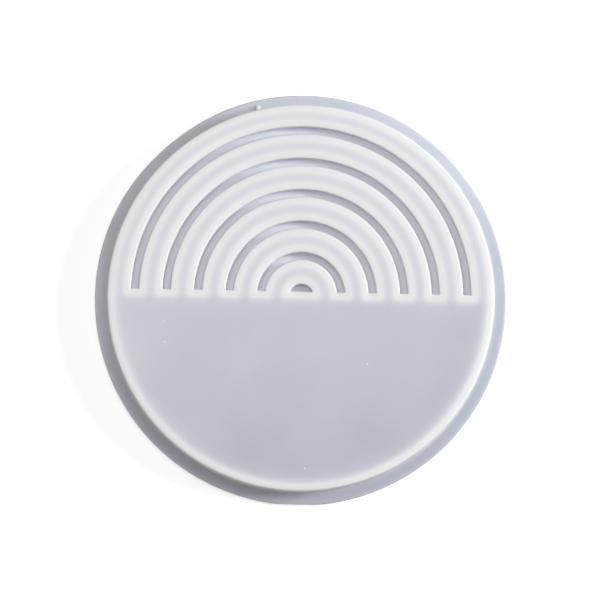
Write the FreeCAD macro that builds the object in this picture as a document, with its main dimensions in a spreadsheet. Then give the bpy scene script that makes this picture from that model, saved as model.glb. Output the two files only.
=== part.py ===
"""Round silicone casting mould, lying cavity-down on its rim.

The mould is one soft silicone moulding.  It is drawn here as the features that a mould maker would
name: the flat rim flange, the side wall, the floor panel, five hollow arch ribs and a hollow
half-moon boss.  Each feature is a closed solid, and neighbours meet face to face on level planes.

Frame: +Z up, the origin on the underside of the rim flange at the centre of the cavity, +Y towards
the crown of the arches and +X along the line on which the ribs end.  Sizes are in millimetres.
"""

import FreeCAD
import Part
import Sketcher
import math
import os

# Driving dimensions: alias, value, what it measures.
SIZES = (
    ("flange_diameter", 110.0, "outside of the rim flange"),
    ("cavity_diameter", 100.0, "the disc that the mould casts"),
    ("overall_height", 9.0, "underside of the flange to the back of the floor"),
    ("sheet_thickness", 1.5, "flange, floor, and the closed side of each rib"),
    ("wall_thickness", 1.6, "side wall, and each side and end of a rib"),
    ("groove_width", 2.15, "hollow in the back of an arch rib"),
    ("groove_depth", 3.0, "hollow in the back of a rib or of the boss"),
    ("arch_centre_rise", 0.5, "common centre of the arches, above the line of the rib ends"),
    ("first_arch_radius", 10.7, "middle of the smallest arch rib"),
    ("arch_pitch", 8.4, "one arch rib to the next"),
    ("boss_groove_radius", 3.2, "hollow in the back of the half-moon boss"),
    ("rib_corner_radius", 1.0, "corners at the ends of the ribs"),
    ("back_edge_radius", 0.4, "rounded edge round the back of the floor"),
    ("flange_edge_radius", 0.4, "rounded outer edges of the flange"),
    ("gate_flat_width", 12.0, "flat on the flange's edge, where the moulding gate was trimmed"),
)
VALUES = {alias: value for alias, value, meaning in SIZES}
ARCH_COUNT = 5

# Levels and radii, as expressions on the sheet.
BASE = "0"
FLANGE_TOP = "sizes.sheet_thickness"
FLOOR_UNDERSIDE = "sizes.overall_height - sizes.sheet_thickness"
FLOOR_BACK = "sizes.overall_height"
RIB_UNDERSIDE = "sizes.overall_height - sizes.sheet_thickness - sizes.groove_depth"
FLANGE_RADIUS = "sizes.flange_diameter / 2"
CAVITY_RADIUS = "sizes.cavity_diameter / 2"
WALL_RADIUS = "sizes.cavity_diameter / 2 + sizes.wall_thickness"
RIB_CORNER = "sizes.rib_corner_radius"

# Sketcher's numbers for the two axes, the origin, and the points of a line or an arc.
X_AXIS = -1
Y_AXIS = -2
ORIGIN = (-1, 1)
START = 1
END = 2
CENTRE = 3

ROUGH_RADIUS = 10.0
SAME = 1e-6


def make_sheet(doc):
    """Put the driving dimensions in a spreadsheet, one named row each."""
    sheet = doc.addObject("Spreadsheet::Sheet", "sizes")
    for row, (alias, value, meaning) in enumerate(SIZES, start=1):
        sheet.set(f"A{row}", str(value))
        sheet.setAlias(f"A{row}", alias)
        sheet.set(f"B{row}", meaning)
    doc.recompute()


def make_body(doc, label):
    """Start one feature of the moulding."""
    body = doc.addObject("PartDesign::Body", label)
    body.Label = label
    return body


def make_sketch(body, name, level):
    """A level sketch in the body, at a height given as an expression."""
    sketch = body.newObject("Sketcher::SketchObject", name)
    plane = next(item for item in body.Origin.OriginFeatures if item.Role == "XY_Plane")
    sketch.AttachmentSupport = (plane, [""])
    sketch.MapMode = "FlatFace"
    sketch.setExpression("AttachmentOffset.Base.z", level)
    return sketch


def dimension(sketch, name, expression, *constraint):
    """Add a named dimension to a sketch and bind it to the sheet."""
    index = sketch.addConstraint(Sketcher.Constraint(*constraint))
    sketch.renameConstraint(index, name)
    sketch.setExpression(f"Constraints.{name}", expression)


def add_circle(sketch, name, radius):
    """A circle about the origin."""
    rough = Part.Circle(FreeCAD.Vector(), FreeCAD.Vector(0, 0, 1), ROUGH_RADIUS)
    circle = sketch.addGeometry(rough, False)
    sketch.addConstraint(Sketcher.Constraint("Coincident", circle, CENTRE, *ORIGIN))
    dimension(sketch, name, radius, "Radius", circle, ROUGH_RADIUS)


def add_arc(sketch, radius, foot_height):
    """A rough half circle about the arches' centre, from its right foot to its left foot."""
    centre_height = VALUES["arch_centre_rise"]
    centre = FreeCAD.Vector(0, centre_height, 0)
    rise = math.asin((foot_height - centre_height) / radius)
    circle = Part.Circle(centre, FreeCAD.Vector(0, 0, 1), radius)
    return sketch.addGeometry(Part.ArcOfCircle(circle, rise, math.pi - rise), False)


def add_level_line(sketch, start, end):
    """A level line between two points of arcs, each given as the arc and the point on it."""
    rough = Part.LineSegment(sketch.getPoint(*start), sketch.getPoint(*end))
    line = sketch.addGeometry(rough, False)
    sketch.addConstraint(Sketcher.Constraint("Coincident", line, START, *start))
    sketch.addConstraint(Sketcher.Constraint("Coincident", line, END, *end))
    sketch.addConstraint(Sketcher.Constraint("Horizontal", line))
    return line


def hold_arc_and_foot(sketch, arc, line, foot_height):
    """Fix an arc's centre, and the height of the straight foot above the line of the rib ends."""
    sketch.addConstraint(Sketcher.Constraint("PointOnObject", arc, CENTRE, Y_AXIS))
    dimension(sketch, "centre_rise", "sizes.arch_centre_rise",
              "DistanceY", *ORIGIN, arc, CENTRE, VALUES["arch_centre_rise"])
    if foot_height > 0:
        dimension(sketch, "foot_rise", "sizes.wall_thickness",
                  "DistanceY", *ORIGIN, line, START, foot_height)
    else:
        sketch.addConstraint(Sketcher.Constraint("PointOnObject", line, START, X_AXIS))


def draw_arch(sketch, number, width, foot_height):
    """Arch number 1 to 5: the band of a given width, cut off level at both feet."""
    middle = f"(sizes.first_arch_radius + {number - 1} * sizes.arch_pitch)"
    rough_middle = VALUES["first_arch_radius"] + (number - 1) * VALUES["arch_pitch"]
    rough_half = VALUES["groove_width"] / 2
    large = add_arc(sketch, rough_middle + rough_half, foot_height)
    small = add_arc(sketch, rough_middle - rough_half, foot_height)
    left = add_level_line(sketch, (large, END), (small, END))
    right = add_level_line(sketch, (small, START), (large, START))
    sketch.addConstraint(Sketcher.Constraint("Coincident", small, CENTRE, large, CENTRE))
    sketch.addConstraint(Sketcher.Constraint("Horizontal", left, START, right, END))
    hold_arc_and_foot(sketch, large, left, foot_height)
    dimension(sketch, "outer_radius", f"{middle} + ({width}) / 2",
              "Radius", large, rough_middle + rough_half)
    dimension(sketch, "inner_radius", f"{middle} - ({width}) / 2",
              "Radius", small, rough_middle - rough_half)


def draw_half_moon(sketch, radius, foot_height):
    """A half moon with its straight side level."""
    arc = add_arc(sketch, VALUES["boss_groove_radius"], foot_height)
    chord = add_level_line(sketch, (arc, END), (arc, START))
    hold_arc_and_foot(sketch, arc, chord, foot_height)
    dimension(sketch, "moon_radius", radius, "Radius", arc, VALUES["boss_groove_radius"])


def add_pad(body, sketch, height):
    """Raise a sketch upwards by an expression."""
    pad = body.newObject("PartDesign::Pad", f"{sketch.Name}_pad")
    pad.Profile = sketch
    pad.setExpression("Length", height)
    body.Document.recompute()
    return pad


def add_pocket(body, sketch, depth):
    """Cut a sketch downwards by an expression, and make sure that it removes material."""
    volume_before = body.Shape.Volume
    pocket = body.newObject("PartDesign::Pocket", f"{sketch.Name}_pocket")
    pocket.Profile = sketch
    pocket.setExpression("Length", depth)
    body.Document.recompute()
    if body.Shape.Volume > volume_before - SAME:
        raise RuntimeError(f"{pocket.Name} cuts nothing")


def add_fillet(body, base, is_wanted, radius):
    """Round the edges of the base feature that is_wanted picks."""
    names = [f"Edge{number}" for number, edge in enumerate(base.Shape.Edges, start=1)
             if is_wanted(edge)]
    fillet = body.newObject("PartDesign::Fillet", f"{base.Name}_fillet")
    fillet.Base = (base, names)
    fillet.setExpression("Radius", radius)
    body.Document.recompute()


def is_upright(edge):
    """A straight edge along Z."""
    low, high = edge.Vertexes[0].Point, edge.Vertexes[-1].Point
    return high.distanceToPoint(low) > SAME and math.hypot(high.x - low.x, high.y - low.y) < SAME


def is_flange_rim(edge):
    """One of the two circles round the outside of the flange."""
    curve = edge.Curve
    return isinstance(curve, Part.Circle) and abs(2 * curve.Radius - VALUES["flange_diameter"]) < SAME


def is_back_rim(edge):
    """The circle round the top of the floor panel."""
    level = abs(edge.BoundBox.ZMin - VALUES["overall_height"]) < SAME
    return isinstance(edge.Curve, Part.Circle) and level and edge.BoundBox.ZLength < SAME


def make_rim_flange(doc):
    """Flat ring that the mould lies on, open over the cavity, with the trimmed gate's flat."""
    body = make_body(doc, "rim_flange")
    ring = make_sketch(body, "flange_ring", BASE)
    add_circle(ring, "outside", FLANGE_RADIUS)
    add_circle(ring, "inside", CAVITY_RADIUS)
    pad = add_pad(body, ring, FLANGE_TOP)
    add_fillet(body, pad, is_flange_rim, "sizes.flange_edge_radius")
    add_gate_flat(body)


def add_gate_flat(body):
    """Slice the flange's edge off straight at -Y."""
    sketch = make_sketch(body, "gate_flat", FLANGE_TOP)
    half_width = VALUES["gate_flat_width"]
    near = -VALUES["flange_diameter"] / 2
    far = near - half_width
    corners = [FreeCAD.Vector(-half_width, near, 0), FreeCAD.Vector(half_width, near, 0),
               FreeCAD.Vector(half_width, far, 0), FreeCAD.Vector(-half_width, far, 0)]
    sides = [sketch.addGeometry(Part.LineSegment(corners[index], corners[(index + 1) % 4]), False)
             for index in range(4)]
    for index, side in enumerate(sides):
        follower = sides[(index + 1) % 4]
        sketch.addConstraint(Sketcher.Constraint("Coincident", side, END, follower, START))
    sketch.addConstraint(Sketcher.Constraint("Symmetric", sides[0], START, sides[0], END, Y_AXIS))
    sketch.addConstraint(Sketcher.Constraint("Vertical", sides[1]))
    sketch.addConstraint(Sketcher.Constraint("Horizontal", sides[2]))
    sketch.addConstraint(Sketcher.Constraint("Vertical", sides[3]))
    dimension(sketch, "cut_length", "2 * sizes.gate_flat_width",
              "DistanceX", sides[0], START, sides[0], END, 2 * half_width)
    dimension(sketch, "cut_depth", "sizes.gate_flat_width",
              "DistanceY", sides[1], END, sides[1], START, half_width)
    dimension(sketch, "cut_distance",
              "sqrt((sizes.flange_diameter / 2) ^ 2 - (sizes.gate_flat_width / 2) ^ 2)",
              "DistanceY", sides[0], START, *ORIGIN, -near)
    add_pocket(body, sketch, FLANGE_TOP)


def make_side_wall(doc):
    """Upright wall round the cavity, from the flange to the floor."""
    body = make_body(doc, "side_wall")
    ring = make_sketch(body, "wall_ring", FLANGE_TOP)
    add_circle(ring, "outside", WALL_RADIUS)
    add_circle(ring, "inside", CAVITY_RADIUS)
    add_pad(body, ring, f"{FLOOR_UNDERSIDE} - {FLANGE_TOP}")


def make_floor_panel(doc):
    """Round floor over the cavity, slotted where the grooves in the back run on into the ribs."""
    body = make_body(doc, "floor_panel")
    disc = make_sketch(body, "floor_disc", FLOOR_UNDERSIDE)
    add_circle(disc, "outside", WALL_RADIUS)
    pad = add_pad(body, disc, "sizes.sheet_thickness")
    add_fillet(body, pad, is_back_rim, "sizes.back_edge_radius")
    for number in range(1, ARCH_COUNT + 1):
        slot = make_sketch(body, f"floor_slot_{number}", FLOOR_BACK)
        draw_arch(slot, number, "sizes.groove_width", VALUES["wall_thickness"])
        add_pocket(body, slot, "sizes.sheet_thickness")
    opening = make_sketch(body, "floor_half_moon", FLOOR_BACK)
    draw_half_moon(opening, "sizes.boss_groove_radius", VALUES["wall_thickness"])
    add_pocket(body, opening, "sizes.sheet_thickness")


def make_arch_rib(doc, number):
    """Half-round rib on the cavity side of the floor, hollowed from the back."""
    body = make_body(doc, f"arch_rib_{number}")
    outline = make_sketch(body, f"rib_outline_{number}", RIB_UNDERSIDE)
    draw_arch(outline, number, "sizes.groove_width + 2 * sizes.wall_thickness", 0.0)
    pad = add_pad(body, outline, "sizes.groove_depth")
    add_fillet(body, pad, is_upright, RIB_CORNER)
    groove = make_sketch(body, f"rib_groove_{number}", FLOOR_UNDERSIDE)
    draw_arch(groove, number, "sizes.groove_width", VALUES["wall_thickness"])
    add_pocket(body, groove, "sizes.groove_depth - sizes.sheet_thickness")


def make_half_moon_boss(doc):
    """Half-moon boss inside the smallest arch, hollowed from the back."""
    body = make_body(doc, "half_moon_boss")
    outline = make_sketch(body, "boss_outline", RIB_UNDERSIDE)
    draw_half_moon(outline, "sizes.boss_groove_radius + sizes.wall_thickness", 0.0)
    pad = add_pad(body, outline, "sizes.groove_depth")
    add_fillet(body, pad, is_upright, RIB_CORNER)
    pit = make_sketch(body, "boss_pit", FLOOR_UNDERSIDE)
    draw_half_moon(pit, "sizes.boss_groove_radius", VALUES["wall_thickness"])
    add_pocket(body, pit, "sizes.groove_depth - sizes.sheet_thickness")


def check_and_write(doc):
    """Stop on any failed feature or bad solid, then write one STEP file for each body."""
    doc.recompute()
    for item in doc.Objects:
        if "Invalid" in item.State or "Error" in item.State:
            raise RuntimeError(f"{item.Name} failed: {item.State}")
    bodies = [item for item in doc.Objects if item.TypeId == "PartDesign::Body"]
    for body in bodies:
        if body.Shape.isNull() or not body.Shape.isValid() or len(body.Shape.Solids) != 1:
            raise RuntimeError(f"{body.Label} is not one valid solid")
    os.makedirs("parts", exist_ok=True)
    for body in bodies:
        body.Shape.exportStep(f"parts/{body.Label}.step")
        box = body.Shape.BoundBox
        print(f"{body.Label}: {body.Shape.Volume:.1f} mm3, "
              f"{box.XLength:.2f} x {box.YLength:.2f} x {box.ZLength:.2f} mm")


def main():
    doc = FreeCAD.newDocument("casting_mould")
    make_sheet(doc)
    make_rim_flange(doc)
    make_side_wall(doc)
    make_floor_panel(doc)
    for number in range(1, ARCH_COUNT + 1):
        make_arch_rib(doc, number)
    make_half_moon_boss(doc)
    check_and_write(doc)


main()
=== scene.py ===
"""Looks of the round silicone casting mould, lying cavity-down on its rim.

The real mould is one seamless moulding, so one closed skin stands for all of its CAD features. The
skin is swept along offset outlines: circles for the wall and flange, arches and a half moon for the
hollows in the back and for the ribs on the cavity side.
"""

import bmesh
import bpy
import math
from mathutils import Matrix, Vector, geometry, kdtree


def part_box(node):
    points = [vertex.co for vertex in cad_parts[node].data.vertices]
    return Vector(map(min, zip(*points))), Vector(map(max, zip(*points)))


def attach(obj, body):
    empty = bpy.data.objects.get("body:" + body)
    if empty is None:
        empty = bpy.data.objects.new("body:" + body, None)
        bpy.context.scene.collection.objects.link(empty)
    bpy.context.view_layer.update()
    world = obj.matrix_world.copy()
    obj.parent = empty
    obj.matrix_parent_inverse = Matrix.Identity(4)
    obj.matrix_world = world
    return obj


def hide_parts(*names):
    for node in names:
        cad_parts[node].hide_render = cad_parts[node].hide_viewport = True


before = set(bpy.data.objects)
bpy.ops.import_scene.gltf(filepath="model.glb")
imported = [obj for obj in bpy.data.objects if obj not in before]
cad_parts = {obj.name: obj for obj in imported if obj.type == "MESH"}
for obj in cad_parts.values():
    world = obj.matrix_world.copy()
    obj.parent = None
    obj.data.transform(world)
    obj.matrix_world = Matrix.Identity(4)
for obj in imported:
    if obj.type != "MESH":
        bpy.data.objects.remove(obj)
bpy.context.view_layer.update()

MM = 0.001

# Sizes read from the CAD features.
flange_low, flange_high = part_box("rim_flange")
wall_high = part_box("side_wall")[1]
floor_low, floor_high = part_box("floor_panel")
rib_boxes = [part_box(f"arch_rib_{number}") for number in range(1, 6)]
boss_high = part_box("half_moon_boss")[1]

FLANGE_RADIUS = flange_high.x
GATE_FLAT = -flange_low.y
FLANGE_TOP = flange_high.z
WALL_RADIUS = wall_high.x
BACK = floor_high.z
FLOOR_UNDER = floor_low.z
RIB_UNDER = rib_boxes[0][0].z
ARCH_CENTRE = Vector((0.0, rib_boxes[-1][1].y - rib_boxes[-1][1].x))

# Sizes of the moulding that the boxes do not hold.
SHEET = BACK - FLOOR_UNDER
RIB_SIDE = 1.6 * MM
CAVITY_RADIUS = WALL_RADIUS - RIB_SIDE
GROOVE_HALF = 1.075 * MM
GROOVE_FLOOR = RIB_UNDER + SHEET
ARCH_RADII = [high.x - RIB_SIDE - GROOVE_HALF for _, high in rib_boxes]
ARCH_PITCH = ARCH_RADII[1] - ARCH_RADII[0]
MOON_RADIUS = boss_high.y - ARCH_CENTRE.y - RIB_SIDE
RIB_CORNER = 1.0 * MM
GROOVE_CORNER = 0.12 * MM

# Unevenness of the soft moulding: the floor's sag with its two waves (radians per metre, phase), the
# slow pull of the flange's edge with its waves (share, number round the edge, phase), and the one
# dent in that edge with its direction and spread in radians.
SAG = 0.10 * MM
SAG_ACROSS = (71, 1.3)
SAG_ALONG = (63, -0.4)
EDGE_PULL = 0.10 * MM
EDGE_WAVES = [(0.3, 3, 0.6), (0.2, 7, 2.1)]
DENT_DEPTH = 0.40 * MM
DENT_DIRECTION = 2.27
DENT_SPREAD = 0.3

# A lump of silicone beside the wall: its place in the plan, how far its middle is above the flange,
# its radius, and how much narrower it is along Y.
NIB_PLACE = (-12.5 * MM, 51.3 * MM)
NIB_RISE = 0.2 * MM
NIB_RADIUS = 0.78 * MM
NIB_SQUASH = 0.85

# Mesh fineness.
CIRCLE_STEPS = 360
ARC_STEP = 0.9 * MM
LEAST_ARC_STEPS = 24
CORNER_STEPS = 5
FOOT_STEPS = 3
ROUND_STEPS = 4
PLANE_STEP = 1.7 * MM
PLANE_CLEARANCE = 0.55 * PLANE_STEP
NIB_STEPS_ROUND = 24
NIB_STEPS_DOWN = 16

# Colours of the silicone, linear.
SHEET_COLOUR_DEEP = (0.555, 0.575, 0.64, 1.0)
SHEET_COLOUR_PALE = (0.70, 0.715, 0.775, 1.0)
# White of the walls, also used as painted light in the channels, the hollows and on the flange.
WALL_AND_PAINTED_LIGHT_COLOUR = (0.94, 0.95, 0.99, 1.0)
NIB_COLOUR = (0.98, 0.98, 0.99, 1.0)

# How a wall's whiteness fades into the sheet beside it: the fade's reach, and how many times faster
# it fades over the disc's floor next to the outer wall, and over the flange, where the white is
# painted light on the shade at the wall's foot.
WALL_FADE = 0.9 * MM
FLOOR_FADE = 0.8
FLANGE_PAINTED_LIGHT_FADE = 2.0

# Shares of a wall's whiteness: a painted glow in the channels between the ribs, where it sets in over
# a short way along Y at the rib ends, then painted light at the bottom of the hollows, at their feet
# and less at their crowns, and last on the outside of the wall.
CHANNEL_PAINTED_GLOW = 0.24
CHANNEL_GLOW_START = (-1.5 * MM, 1.0 * MM)
HOLLOW_PAINTED_LIGHT = 0.58
CROWN_PAINTED_LIGHT = 0.20
OUTSIDE_SHARE = 0.5

# Where the outside of the wall starts: inwards of its face, above the flange, and below the back.
OUTSIDE_DEPTH = 0.5 * MM
OUTSIDE_FOOT = 0.3 * MM
OUTSIDE_BLEND = 0.6 * MM

# Clouding of the bare sheet: size of the clouds. Then painted light, a falloff from deep to pale
# along a slanted line across the plan that makes the sheet paler towards the arches, with its angle
# in degrees, its ends and the paleness added at each end. The last is the paleness taken off on the
# flange.
CLOUD_SCALE = 45.0
CLOUD_DETAIL = 3.0
LIGHT_FALLOFF_ANGLE = -25
LIGHT_FALLOFF_ENDS = (-45 * MM, 15 * MM)
LIGHT_FALLOFF_PALENESS = (-0.3, 0.5)
FLANGE_DIMMING = 0.5

# Tiny pale specks in the floor: places in the plan, and the radii where they start and are full.
SPECK_PLACES = [(-36.5 * MM, -7.1 * MM), (-36.1 * MM, -12.5 * MM), (18.0 * MM, -17.4 * MM),
                (1.9 * MM, -45.6 * MM)]
SPECK_RADII = (0.32 * MM, 0.12 * MM)

# Surface and depth of the silicone: clouds of the nib, fine grain, and how far light scatters.
NIB_CLOUD_SCALE = 1500.0
NIB_CLOUD_DETAIL = 2.0
GRAIN_SCALE = 900.0
GRAIN_DETAIL = 4.0
ROUGHNESS = (0.36, 0.50)
BUMP_STRENGTH = 0.15
BUMP_DEPTH = 0.05 * MM
SILICONE_IOR = 1.41
SCATTER_RADIUS = (1.0, 1.0, 1.0)
SCATTER_SCALE = 2.0 * MM

# The white table and room. Their glow is seen by the camera only. What lights the mould is the
# table's plain colour and the room's low strength.
TABLE_REACH = 3.0
TABLE_DROP = 0.02 * MM
TABLE_COLOUR = (0.80, 0.80, 0.80, 1.0)
TABLE_ROUGHNESS = 0.8
TABLE_SPECULAR = 0.2
TABLE_GLOW = 0.55
ROOM_COLOUR = (1.0, 0.96, 0.93, 1.0)
ROOM_STRENGTH = 0.12
ROOM_GLOW = 0.9

# A cool key from the right, a soft box above, and a low warm fill for the far wall. Azimuth 0 is at
# +X and 90 at +Y, in degrees. Distance and size are in metres, power in watts.
LAMPS = [
    dict(name="key", azimuth=9, elevation=28, distance=2.0, size=0.5, power=34.5,
         colour=(0.93, 0.965, 1.0)),
    dict(name="top", azimuth=100, elevation=80, distance=0.5, size=0.38, power=1.0,
         colour=(1.0, 0.98, 0.975)),
    dict(name="low", azimuth=210, elevation=18, distance=1.6, size=0.9, power=4.0,
         colour=(1.0, 0.95, 0.90)),
]

# The camera: the point of the flange's top that it looks at, its distance and the width it sees there
# in metres, its sensor in millimetres, and its leans and roll in degrees.
AIM = (-0.2 * MM, 0.0 * MM)
CAMERA_DISTANCE = 3.0
FRAME_WIDTH = 0.1603
SENSOR_WIDTH = 36
CLIP = (0.1, 20)
LEAN_SOUTH = 5.0
LEAN_WEST = 0.4
ROLL = 1.14


def circle_outline(radius):
    """Points round the mould's centre, cut off straight at the trimmed gate."""
    points = []
    for step in range(CIRCLE_STEPS):
        angle = math.tau * step / CIRCLE_STEPS
        points.append((radius * math.cos(angle), max(radius * math.sin(angle), -GATE_FLAT)))
    return points


def arc_points(centre, radius, start, end, steps):
    """Points along an arc, both ends included."""
    angles = [start + (end - start) * step / steps for step in range(steps + 1)]
    return [(centre[0] + radius * math.cos(a), centre[1] + radius * math.sin(a)) for a in angles]


def half_turn_steps(radius):
    """Number of steps for about half a turn at a radius."""
    return max(LEAST_ARC_STEPS, round(math.pi * radius / ARC_STEP))


def corner_centre(distance, height):
    """Centre of the small round at a right foot: its distance from the arches' centre, and height."""
    rise = height - ARCH_CENTRE.y
    return math.sqrt(distance ** 2 - rise ** 2), height


def arch_outline(middle, half_width, foot, corner):
    """Closed outline of one arch band, with rounded corners at its two level feet."""
    outer, inner = middle + half_width, middle - half_width
    outer_x, y = corner_centre(outer - corner, foot + corner)
    inner_x, y = corner_centre(inner + corner, foot + corner)
    outer_turn = math.atan2(y - ARCH_CENTRE.y, outer_x)
    inner_turn = math.atan2(y - ARCH_CENTRE.y, inner_x)
    steps = half_turn_steps(middle)
    foot_line = [(inner_x + (outer_x - inner_x) * step / FOOT_STEPS, foot)
                 for step in range(1, FOOT_STEPS)]
    right = arc_points((inner_x, y), corner, inner_turn + math.pi, 1.5 * math.pi, CORNER_STEPS)
    right += foot_line
    right += arc_points((outer_x, y), corner, -0.5 * math.pi, outer_turn, CORNER_STEPS)
    crown = arc_points(ARCH_CENTRE, outer, outer_turn, math.pi - outer_turn, steps)[1:-1]
    left = [(-x, y) for x, y in reversed(right)]
    hollow = arc_points(ARCH_CENTRE, inner, math.pi - inner_turn, inner_turn, steps)[1:-1]
    return right + crown + left + hollow


def moon_outline(radius, foot, corner):
    """Closed outline of the half moon, with rounded corners at the ends of its level chord."""
    centre_x, y = corner_centre(radius - corner, foot + corner)
    turn = math.atan2(y - ARCH_CENTRE.y, centre_x)
    steps = half_turn_steps(radius)
    right = arc_points((centre_x, y), corner, -0.5 * math.pi, turn, CORNER_STEPS)
    crown = arc_points(ARCH_CENTRE, radius, turn, math.pi - turn, steps)[1:-1]
    left = [(-x, y) for x, y in reversed(right)]
    chord_steps = 2 * FOOT_STEPS
    chord = [(-centre_x + 2 * centre_x * step / chord_steps, foot) for step in range(1, chord_steps)]
    return right + crown + left + chord


def round_corner(before, corner, after):
    """Quarter round from before to after, which lie level with and plumb to the sharp corner."""
    points = []
    for step in range(ROUND_STEPS + 1):
        turn = 0.5 * math.pi * step / ROUND_STEPS
        weights = (1 - math.sin(turn), 1 - math.cos(turn))
        points.append(tuple(c + (b - c) * weights[0] + (a - c) * weights[1]
                            for b, c, a in zip(before, corner, after)))
    return points


def groove_profile():
    """From the back of the floor down to the bottom of a hollow: offset outwards, and height."""
    lip, foot = 0.22 * MM, 0.3 * MM
    lip_margin, foot_margin = 0.25 * MM, 0.2 * MM
    profile = [(lip + lip_margin, BACK)]
    profile += round_corner((lip, BACK), (0.0, BACK), (0.0, BACK - lip))
    profile += round_corner((0.0, GROOVE_FLOOR + foot), (0.0, GROOVE_FLOOR), (-foot, GROOVE_FLOOR))
    profile.append((-foot - foot_margin, GROOVE_FLOOR))
    return profile


def rib_profile():
    """From the cavity's floor down to the crown of a rib: offset outwards, and height."""
    root, edge = 0.35 * MM, 0.4 * MM
    margin = 0.25 * MM
    profile = [(root + margin, FLOOR_UNDER)]
    profile += round_corner((root, FLOOR_UNDER), (0.0, FLOOR_UNDER), (0.0, FLOOR_UNDER - root))
    profile += round_corner((0.0, RIB_UNDER + edge), (0.0, RIB_UNDER), (-edge, RIB_UNDER))
    profile.append((-edge - margin, RIB_UNDER))
    return profile


def shell_profile():
    """From the back of the floor, down the wall, round the flange and up inside the cavity."""
    shoulder, root, edge = 0.4 * MM, 0.35 * MM, 0.4 * MM
    mouth, fillet = 0.3 * MM, 0.5 * MM
    margin = 0.35 * MM
    profile = [(WALL_RADIUS - shoulder - margin, BACK)]
    profile += round_corner((WALL_RADIUS - shoulder, BACK), (WALL_RADIUS, BACK),
                            (WALL_RADIUS, BACK - shoulder))
    profile += [(WALL_RADIUS, FLANGE_TOP + share * (BACK - FLANGE_TOP)) for share in (0.65, 0.4, 0.2)]
    profile += round_corner((WALL_RADIUS, FLANGE_TOP + root), (WALL_RADIUS, FLANGE_TOP),
                            (WALL_RADIUS + root, FLANGE_TOP))

    span = FLANGE_RADIUS - edge - WALL_RADIUS - root
    profile += [(WALL_RADIUS + root + span * share, FLANGE_TOP) for share in (0.1, 0.35, 0.65, 0.9)]
    profile += round_corner((FLANGE_RADIUS - edge, FLANGE_TOP), (FLANGE_RADIUS, FLANGE_TOP),
                            (FLANGE_RADIUS, FLANGE_TOP - edge))
    profile += round_corner((FLANGE_RADIUS, edge), (FLANGE_RADIUS, 0.0), (FLANGE_RADIUS - edge, 0.0))

    span = FLANGE_RADIUS - edge - CAVITY_RADIUS - mouth
    profile += [(CAVITY_RADIUS + mouth + span * share, 0.0) for share in (0.92, 0.65, 0.35, 0.08)]
    profile += round_corner((CAVITY_RADIUS + mouth, 0.0), (CAVITY_RADIUS, 0.0), (CAVITY_RADIUS, mouth))
    profile += [(CAVITY_RADIUS, FLOOR_UNDER * share) for share in (0.25, 0.5, 0.75)]
    profile += round_corner((CAVITY_RADIUS, FLOOR_UNDER - fillet), (CAVITY_RADIUS, FLOOR_UNDER),
                            (CAVITY_RADIUS - fillet, FLOOR_UNDER))
    profile.append((CAVITY_RADIUS - fillet - margin, FLOOR_UNDER))
    return profile


def groove_corner(offset):
    """Radius of a hollow's corners at an offset, never less than half of what it is at offset 0."""
    return GROOVE_CORNER + max(offset, -GROOVE_CORNER / 2)


def groove_outlines():
    """One outline function of the offset for each hollow in the back."""
    outlines = [lambda offset, middle=middle: arch_outline(
        middle, GROOVE_HALF + offset, RIB_SIDE - offset, groove_corner(offset)) for middle in ARCH_RADII]
    outlines.append(lambda offset: moon_outline(
        MOON_RADIUS + offset, RIB_SIDE - offset, groove_corner(offset)))
    return outlines


def rib_outlines():
    """One outline function of the offset for each rib and for the boss."""
    half_width = GROOVE_HALF + RIB_SIDE
    outlines = [lambda offset, middle=middle: arch_outline(
        middle, half_width + offset, -offset, RIB_CORNER + offset) for middle in ARCH_RADII]
    outlines.append(lambda offset: moon_outline(
        MOON_RADIUS + RIB_SIDE + offset, -offset, RIB_CORNER + offset))
    return outlines


def sweep(mesh, outline_at, profile):
    """Skin between the outlines that a profile of (offset, height) pairs asks for.

    Returns the first and last loop of vertices.
    """
    loops = []
    for offset, height in profile:
        loops.append([mesh.verts.new((x, y, height)) for x, y in outline_at(offset)])
    for above, below in zip(loops, loops[1:]):
        for index, corner in enumerate(above):
            before = index - 1
            mesh.faces.new((above[before], corner, below[index], below[before]))
    return loops[0], loops[-1]


def grid_points(low, high):
    """Points of a triangular grid over a rectangle."""
    points = []
    row = 0
    y = low[1]
    while y < high[1]:
        x = low[0] + (PLANE_STEP / 2 if row % 2 else 0.0)
        while x < high[0]:
            points.append(Vector((x, y)))
            x += PLANE_STEP
        y += PLANE_STEP * math.sqrt(0.75)
        row += 1
    return points


def clear_points(places):
    """Grid points over the same region as some places, but clear of them."""
    tree = kdtree.KDTree(len(places))
    for index, place in enumerate(places):
        tree.insert(place.to_3d(), index)
    tree.balance()
    low = [min(place[axis] for place in places) for axis in (0, 1)]
    high = [max(place[axis] for place in places) for axis in (0, 1)]
    return [point for point in grid_points(low, high)
            if tree.find(point.to_3d())[2] > PLANE_CLEARANCE]


def fill(mesh, border, holes=()):
    """Triangulate the level region inside a border loop and outside its holes."""
    loops = [border, *holes]
    corners = [vertex for loop in loops for vertex in loop]
    places = [vertex.co.to_2d() for vertex in corners]
    rings = []
    first = 0
    for loop in loops:
        rings.append(list(range(first, first + len(loop))))
        first += len(loop)
    inside_rings, tolerance = 1, 1e-9
    result = geometry.delaunay_2d_cdt(places + clear_points(places), [], rings, inside_rings, tolerance)
    found, faces, from_vertex, from_ring = result[0], result[2], result[3], result[5]

    height = border[0].co.z
    used = {}
    for face, sources in zip(faces, from_ring):
        if list(sources) != [0]:
            continue
        for index in face:
            if index not in used:
                known = [source for source in from_vertex[index] if source < len(corners)]
                used[index] = corners[known[0]] if known else mesh.verts.new((*found[index], height))
        mesh.faces.new([used[index] for index in face])


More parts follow.
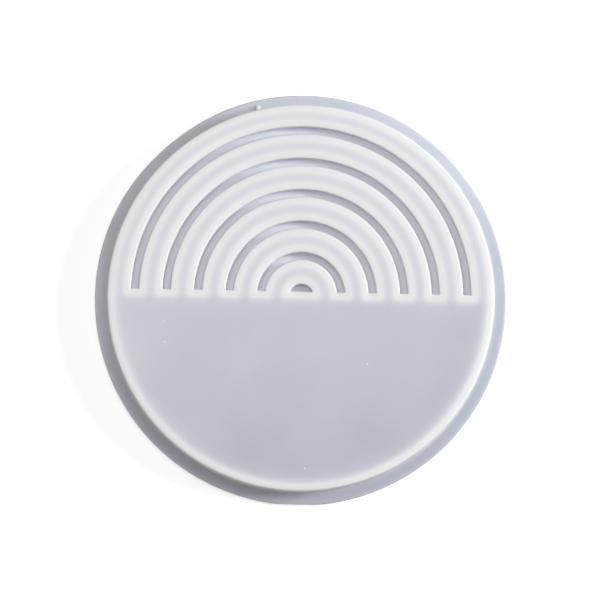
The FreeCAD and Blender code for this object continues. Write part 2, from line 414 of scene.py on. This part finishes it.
def soften(place):
    """Small slow unevenness of a soft moulding, inside the CAD size."""
    x, y, z = place
    angle = math.atan2(y, x)
    across = math.sin(x * SAG_ACROSS[0] + SAG_ACROSS[1])
    along = math.cos(y * SAG_ALONG[0] + SAG_ALONG[1])
    sag = 0.5 + 0.5 * across * along
    lift = -SAG * sag * (z / BACK)
    outward = max(0.0, (math.hypot(x, y) - CAVITY_RADIUS) / (FLANGE_RADIUS - CAVITY_RADIUS))
    wave = 0.5
    for share, count, phase in EDGE_WAVES:
        wave += share * math.sin(count * angle + phase)
    dent = math.exp(-((angle - DENT_DIRECTION) / DENT_SPREAD) ** 2)
    pull = 1 - (EDGE_PULL * wave + DENT_DEPTH * dent) * outward / FLANGE_RADIUS
    return Vector((x * pull, y * pull, z + lift))


def add_object(name, data):
    """An object of the scene for some mesh, lamp or camera data."""
    item = bpy.data.objects.new(name, data)
    bpy.context.scene.collection.objects.link(item)
    return item


def add_piece(name, mesh):
    """A smooth object of the scene from a finished bmesh."""
    data = bpy.data.meshes.new(name)
    mesh.to_mesh(data)
    mesh.free()
    data.shade_smooth()
    return add_object(name, data)


def make_moulding():
    """The whole seamless silicone skin."""
    mesh = bmesh.new()
    back_border, floor_border = sweep(mesh, circle_outline, shell_profile())
    for border, outlines, profile in ((back_border, groove_outlines(), groove_profile()),
                                      (floor_border, rib_outlines(), rib_profile())):
        holes = []
        for outline in outlines:
            top, bottom = sweep(mesh, outline, profile)
            holes.append(top)
            fill(mesh, bottom)
        fill(mesh, border, holes)
    for vertex in mesh.verts:
        vertex.co = soften(vertex.co)
    bmesh.ops.recalc_face_normals(mesh, faces=mesh.faces)
    return add_piece("silicone_moulding", mesh)


def make_nib():
    """Small round lump left on the flange beside the wall."""
    mesh = bmesh.new()
    middle = (0.0, 0.0)
    meridian = arc_points(middle, NIB_RADIUS, 0.5 * math.pi, -0.5 * math.pi, NIB_STEPS_DOWN)
    loops = sweep(mesh, lambda radius: arc_points(middle, radius, 0.0, math.tau, NIB_STEPS_ROUND)[:-1],
                  meridian[1:-1])
    for loop, height in zip(loops, (NIB_RADIUS, -NIB_RADIUS)):
        pole = mesh.verts.new((0.0, 0.0, height))
        for index, corner in enumerate(loop):
            mesh.faces.new((loop[index - 1], corner, pole))
    bmesh.ops.recalc_face_normals(mesh, faces=mesh.faces)
    nib = add_piece("nib", mesh)
    nib.location = (*NIB_PLACE, FLANGE_TOP + NIB_RISE)
    nib.scale = (1.0, NIB_SQUASH, 1.0)
    return nib


class Nodes:
    """Short ways to add, set and link the nodes of one material."""

    def __init__(self, material):
        material.use_nodes = True
        self.tree = material.node_tree
        self.shader = self.tree.nodes["Principled BSDF"]

    def add(self, kind, inputs=(), **settings):
        """A node with some properties and some input values or links."""
        node = self.tree.nodes.new(kind)
        for name, value in settings.items():
            setattr(node, name, value)
        for name, value in dict(inputs).items():
            self.feed(node.inputs[name], value)
        return node

    def feed(self, socket, value):
        """Set a socket to a value, or link it if the value is another node's output."""
        if isinstance(value, bpy.types.NodeSocket):
            self.tree.links.new(value, socket)
        else:
            socket.default_value = value

    def math(self, operation, *values):
        """The output of one math node."""
        node = self.add("ShaderNodeMath", operation=operation)
        for socket, value in zip(node.inputs, values):
            self.feed(socket, value)
        return node.outputs[0]

    def length(self, first, second):
        """The length of a flat vector."""
        squares = [self.math("MULTIPLY", value, value) for value in (first, second)]
        return self.math("SQRT", self.math("ADD", *squares))

    def above_zero(self, value):
        """The value, or 0 where it is negative."""
        return self.math("MAXIMUM", value, 0.0)

    def one_minus(self, value):
        """What is missing from the value to 1."""
        return self.math("SUBTRACT", 1.0, value)

    def ramp(self, value, ends, results=(0.0, 1.0), curve="LINEAR"):
        """The value carried from one pair of ends to another, and held beyond them."""
        node = self.add("ShaderNodeMapRange", {
            "Value": value, "From Min": ends[0], "From Max": ends[1],
            "To Min": results[0], "To Max": results[1]}, interpolation_type=curve)
        return node.outputs["Result"]

    def noise(self, place, scale, detail):
        """Cloudy values from 0 to 1."""
        return self.add("ShaderNodeTexNoise", {"Vector": place, "Scale": scale,
                                               "Detail": detail}).outputs["Fac"]

    def split(self, vector):
        """The three coordinates of a vector."""
        node = self.add("ShaderNodeSeparateXYZ", {"Vector": vector})
        return node.outputs["X"], node.outputs["Y"], node.outputs["Z"]

    def mix(self, share, first, second):
        """The output of a colour mix."""
        node = self.add("ShaderNodeMix", data_type="RGBA")
        self.feed(node.inputs["Factor"], share)
        self.feed(node.inputs["A"], first)
        self.feed(node.inputs["B"], second)
        return node.outputs["Result"]


def from_nearest_groove(nodes, distance):
    """Distance to the middle line of the nearest arch groove."""
    steps_out = nodes.math("DIVIDE", nodes.math("SUBTRACT", distance, ARCH_RADII[0]), ARCH_PITCH)
    nearest = nodes.above_zero(nodes.math("ROUND", steps_out))
    nearest = nodes.math("MINIMUM", nearest, len(ARCH_RADII) - 1.0)
    from_middle = nodes.math("ABSOLUTE", nodes.math("SUBTRACT", steps_out, nearest))
    return nodes.math("MULTIPLY", from_middle, ARCH_PITCH)


def from_side(nodes, distance, y, half_width):
    """Distance outside a shape of that half width, with rounded corners at its level foot."""
    past_side = nodes.above_zero(nodes.math("SUBTRACT", distance, half_width - RIB_CORNER))
    past_foot = nodes.above_zero(nodes.math("SUBTRACT", RIB_CORNER, y))
    return nodes.math("SUBTRACT", nodes.length(past_side, past_foot), RIB_CORNER)


def from_outer_wall(nodes, radius):
    """Distance to the outer wall, stretched by the two fades on its two sides; on the flange side the
    fade spreads painted light.
    """
    inside = nodes.above_zero(nodes.math("SUBTRACT", CAVITY_RADIUS, radius))
    outside = nodes.above_zero(nodes.math("SUBTRACT", radius, WALL_RADIUS))
    # The flange side's fade spreads painted light over the shade at the wall's foot.
    return nodes.math("ADD", nodes.math("MULTIPLY", inside, FLOOR_FADE),
                      nodes.math("MULTIPLY", outside, FLANGE_PAINTED_LIGHT_FADE))


def channel_painted_glow(nodes, y, radius):
    """Painted glow of the channels between the ribs, which starts at the line of the rib ends."""
    # Painted glow between the ribs, fading in at the rib ends.
    ribbed = nodes.ramp(y, CHANNEL_GLOW_START, (0.0, CHANNEL_PAINTED_GLOW), "SMOOTHSTEP")
    return nodes.math("MULTIPLY", ribbed, nodes.math("LESS_THAN", radius, WALL_RADIUS))


def hollow_loss(nodes, y, rise, distance, from_middle):
    """Wall whiteness taken off at the bottom of the hollows, most of all at their crowns; what is left
    there is painted light in their shade.
    """
    in_arch = nodes.math("LESS_THAN", from_middle, GROOVE_HALF)
    in_moon = nodes.math("LESS_THAN", distance, MOON_RADIUS)
    past_foot = nodes.math("GREATER_THAN", y, RIB_SIDE)
    hollow = nodes.math("MULTIPLY", nodes.math("MAXIMUM", in_arch, in_moon), past_foot)
    # Painted light in the hollows: more at their feet, where their walls shade them, less at their
    # crowns.
    towards_crown = nodes.math("POWER", nodes.math("DIVIDE", rise, distance), 2.0)
    loss = nodes.math("MULTIPLY_ADD", towards_crown, HOLLOW_PAINTED_LIGHT - CROWN_PAINTED_LIGHT, 1.0 - HOLLOW_PAINTED_LIGHT)
    return nodes.math("MULTIPLY", hollow, loss)


def outside_loss(nodes, radius, z):
    """Whiteness that is missing on the outside of the wall, which is a thin sheet seen from there."""
    outermost = nodes.math("GREATER_THAN", radius, WALL_RADIUS - OUTSIDE_DEPTH)
    above_flange = nodes.math("GREATER_THAN", z, FLANGE_TOP + OUTSIDE_FOOT)
    below_back = nodes.ramp(z, (BACK, BACK - OUTSIDE_BLEND), (0.0, 1.0 - OUTSIDE_SHARE))
    return nodes.math("MULTIPLY", nodes.math("MULTIPLY", outermost, above_flange), below_back)


def wall_and_painted_light_share(nodes, place):
    """How much of an upright wall lies under a point, from 0 on a bare sheet to 1 on a wall, plus
    painted light.

    It is worked out from the plan of the moulding: the distance to the nearest rib side, boss side
    or outer wall, with a short fade where the wall's milkiness shows through the sheet. Painted light
    adds white in the channels, at the bottom of the hollows and on the flange beside the wall.
    """
    x, y, z = nodes.split(place)
    radius = nodes.length(x, y)
    rise = nodes.above_zero(nodes.math("SUBTRACT", y, ARCH_CENTRE.y))
    distance = nodes.length(x, rise)
    from_middle = from_nearest_groove(nodes, distance)
    from_rib = from_side(nodes, from_middle, y, GROOVE_HALF + RIB_SIDE)
    from_boss = from_side(nodes, distance, y, MOON_RADIUS + RIB_SIDE)
    from_feature = nodes.above_zero(nodes.math("MINIMUM", from_rib, from_boss))
    away = nodes.math("MINIMUM", from_feature, from_outer_wall(nodes, radius))
    share = nodes.math("EXPONENT", nodes.math("DIVIDE", away, -WALL_FADE))

    # Painted glow in the channels between the ribs.
    channels = nodes.math("MULTIPLY", channel_painted_glow(nodes, y, radius), nodes.one_minus(share))
    share = nodes.math("ADD", share, channels)
    # What hollow_loss leaves at the bottom of the hollows is painted light.
    for loss in (hollow_loss(nodes, y, rise, distance, from_middle), outside_loss(nodes, radius, z)):
        share = nodes.math("MULTIPLY", share, nodes.one_minus(loss))
    return share


def sheet_colour(nodes, place):
    """Bluish milky colour of a bare sheet: cloudy, with a few specks, and painted light paler towards
    the arches.
    """
    cloud = nodes.noise(place, CLOUD_SCALE, CLOUD_DETAIL)
    # Painted light: a falloff that makes the sheet paler towards the arches.
    slanted = nodes.add("ShaderNodeMapping", {"Vector": place,
                                              "Rotation": (0.0, 0.0, math.radians(LIGHT_FALLOFF_ANGLE))})
    along = nodes.split(slanted.outputs["Vector"])[1]
    paleness = nodes.math("ADD", cloud, nodes.ramp(along, LIGHT_FALLOFF_ENDS, LIGHT_FALLOFF_PALENESS))
    x, y, _ = nodes.split(place)
    on_flange = nodes.math("GREATER_THAN", nodes.length(x, y), WALL_RADIUS)
    paleness = nodes.math("SUBTRACT", paleness, nodes.math("MULTIPLY", on_flange, FLANGE_DIMMING))
    colour = nodes.mix(paleness, SHEET_COLOUR_DEEP, SHEET_COLOUR_PALE)
    for speck_x, speck_y in SPECK_PLACES:
        away = nodes.length(nodes.math("SUBTRACT", x, speck_x), nodes.math("SUBTRACT", y, speck_y))
        colour = nodes.mix(nodes.ramp(away, SPECK_RADII), colour, WALL_AND_PAINTED_LIGHT_COLOUR)
    return colour


def moulding_colour(nodes, place):
    """A bare sheet is dim and bluish, a wall under it shows white, and painted light adds white in the
    channels, the hollows and on the flange.
    """
    return nodes.mix(wall_and_painted_light_share(nodes, place), sheet_colour(nodes, place), WALL_AND_PAINTED_LIGHT_COLOUR)


def nib_colour(nodes, place):
    """Cloudy white of a solid lump."""
    return nodes.mix(nodes.noise(place, NIB_CLOUD_SCALE, NIB_CLOUD_DETAIL), WALL_AND_PAINTED_LIGHT_COLOUR, NIB_COLOUR)


def make_silicone(name, colour_at):
    """Milky translucent silicone, with a function for its colour at each place of the piece."""
    material = bpy.data.materials.new(name)
    nodes = Nodes(material)
    shader = nodes.shader
    place = nodes.add("ShaderNodeTexCoord").outputs["Object"]
    nodes.feed(shader.inputs["Base Color"], colour_at(nodes, place))

    grain = nodes.noise(place, GRAIN_SCALE, GRAIN_DETAIL)
    nodes.feed(shader.inputs["Roughness"], nodes.ramp(grain, (0.0, 1.0), ROUGHNESS))
    bump = nodes.add("ShaderNodeBump", {"Height": grain, "Strength": BUMP_STRENGTH,
                                        "Distance": BUMP_DEPTH})
    nodes.feed(shader.inputs["Normal"], bump.outputs["Normal"])

    shader.inputs["IOR"].default_value = SILICONE_IOR
    shader.inputs["Subsurface Weight"].default_value = 1.0
    shader.inputs["Subsurface Radius"].default_value = SCATTER_RADIUS
    shader.inputs["Subsurface Scale"].default_value = SCATTER_SCALE
    return material


def make_floor():
    """Plain white table under the mould."""
    data = bpy.data.meshes.new("table")
    reach = TABLE_REACH
    data.from_pydata([(-reach, -reach, 0), (reach, -reach, 0), (reach, reach, 0), (-reach, reach, 0)],
                     [], [(0, 1, 2, 3)])
    floor = add_object("table", data)
    floor.location.z = -TABLE_DROP
    material = bpy.data.materials.new("white_table")
    nodes = Nodes(material)
    shader = nodes.shader
    shader.inputs["Base Color"].default_value = TABLE_COLOUR
    shader.inputs["Roughness"].default_value = TABLE_ROUGHNESS
    shader.inputs["Specular IOR Level"].default_value = TABLE_SPECULAR
    shader.inputs["Emission Color"].default_value = (1.0, 1.0, 1.0, 1.0)
    seen = nodes.add("ShaderNodeLightPath").outputs["Is Camera Ray"]
    nodes.feed(shader.inputs["Emission Strength"], nodes.math("MULTIPLY", seen, TABLE_GLOW))
    floor.data.materials.append(material)


def make_room():
    """Pale surroundings that look white but light the mould only a little."""
    world = bpy.data.worlds.new("room")
    world.use_nodes = True
    tree = world.node_tree
    background = tree.nodes["Background"]
    background.inputs["Color"].default_value = ROOM_COLOUR
    path = tree.nodes.new("ShaderNodeLightPath")
    strength = tree.nodes.new("ShaderNodeMapRange")
    strength.inputs["To Min"].default_value = ROOM_STRENGTH
    strength.inputs["To Max"].default_value = ROOM_GLOW
    tree.links.new(path.outputs["Is Camera Ray"], strength.inputs["Value"])
    tree.links.new(strength.outputs["Result"], background.inputs["Strength"])
    bpy.context.scene.world = world


def make_lamp(name, azimuth, elevation, distance, size, power, colour):
    """A square lamp that looks at the mould."""
    data = bpy.data.lights.new(name, "AREA")
    data.size = size
    data.energy = power
    data.color = colour
    turn, rise = math.radians(azimuth), math.radians(elevation)
    away = Vector((math.cos(turn) * math.cos(rise), math.sin(turn) * math.cos(rise), math.sin(rise)))
    lamp = add_object(name, data)
    lamp.location = away * distance
    lamp.rotation_mode = "QUATERNION"
    lamp.rotation_quaternion = away.to_track_quat("Z", "Y")


def make_camera():
    """A long lens almost straight above, leaning a little towards -Y."""
    data = bpy.data.cameras.new("camera")
    data.sensor_width = SENSOR_WIDTH
    data.lens = SENSOR_WIDTH * CAMERA_DISTANCE / FRAME_WIDTH
    data.clip_start, data.clip_end = CLIP
    lean_south, lean_west = math.radians(LEAN_SOUTH), math.radians(LEAN_WEST)
    away = Vector((-math.sin(lean_west), -math.sin(lean_south), 1.0)).normalized()
    right = Vector((0.0, 1.0, 0.0)).cross(away).normalized()
    facing = Matrix((right, away.cross(right), away)).transposed().to_4x4()
    target = Vector((*AIM, FLANGE_TOP))
    roll = Matrix.Rotation(math.radians(ROLL), 4, "Z")
    camera = add_object("camera", data)
    camera.matrix_world = Matrix.Translation(target + away * CAMERA_DISTANCE) @ facing @ roll
    bpy.context.scene.camera = camera


moulding = make_moulding()
moulding.data.materials.append(make_silicone("milky_silicone", moulding_colour))
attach(moulding, "root")
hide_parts("rim_flange", "side_wall", "floor_panel", "half_moon_boss",
            *[f"arch_rib_{number}" for number in range(1, 6)])

nib = make_nib()
nib.data.materials.append(make_silicone("nib_silicone", nib_colour))
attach(nib, "root")

make_floor()
make_room()
for lamp in LAMPS:
    make_lamp(**lamp)
make_camera()
bpy.context.scene.view_settings.view_transform = "Standard"
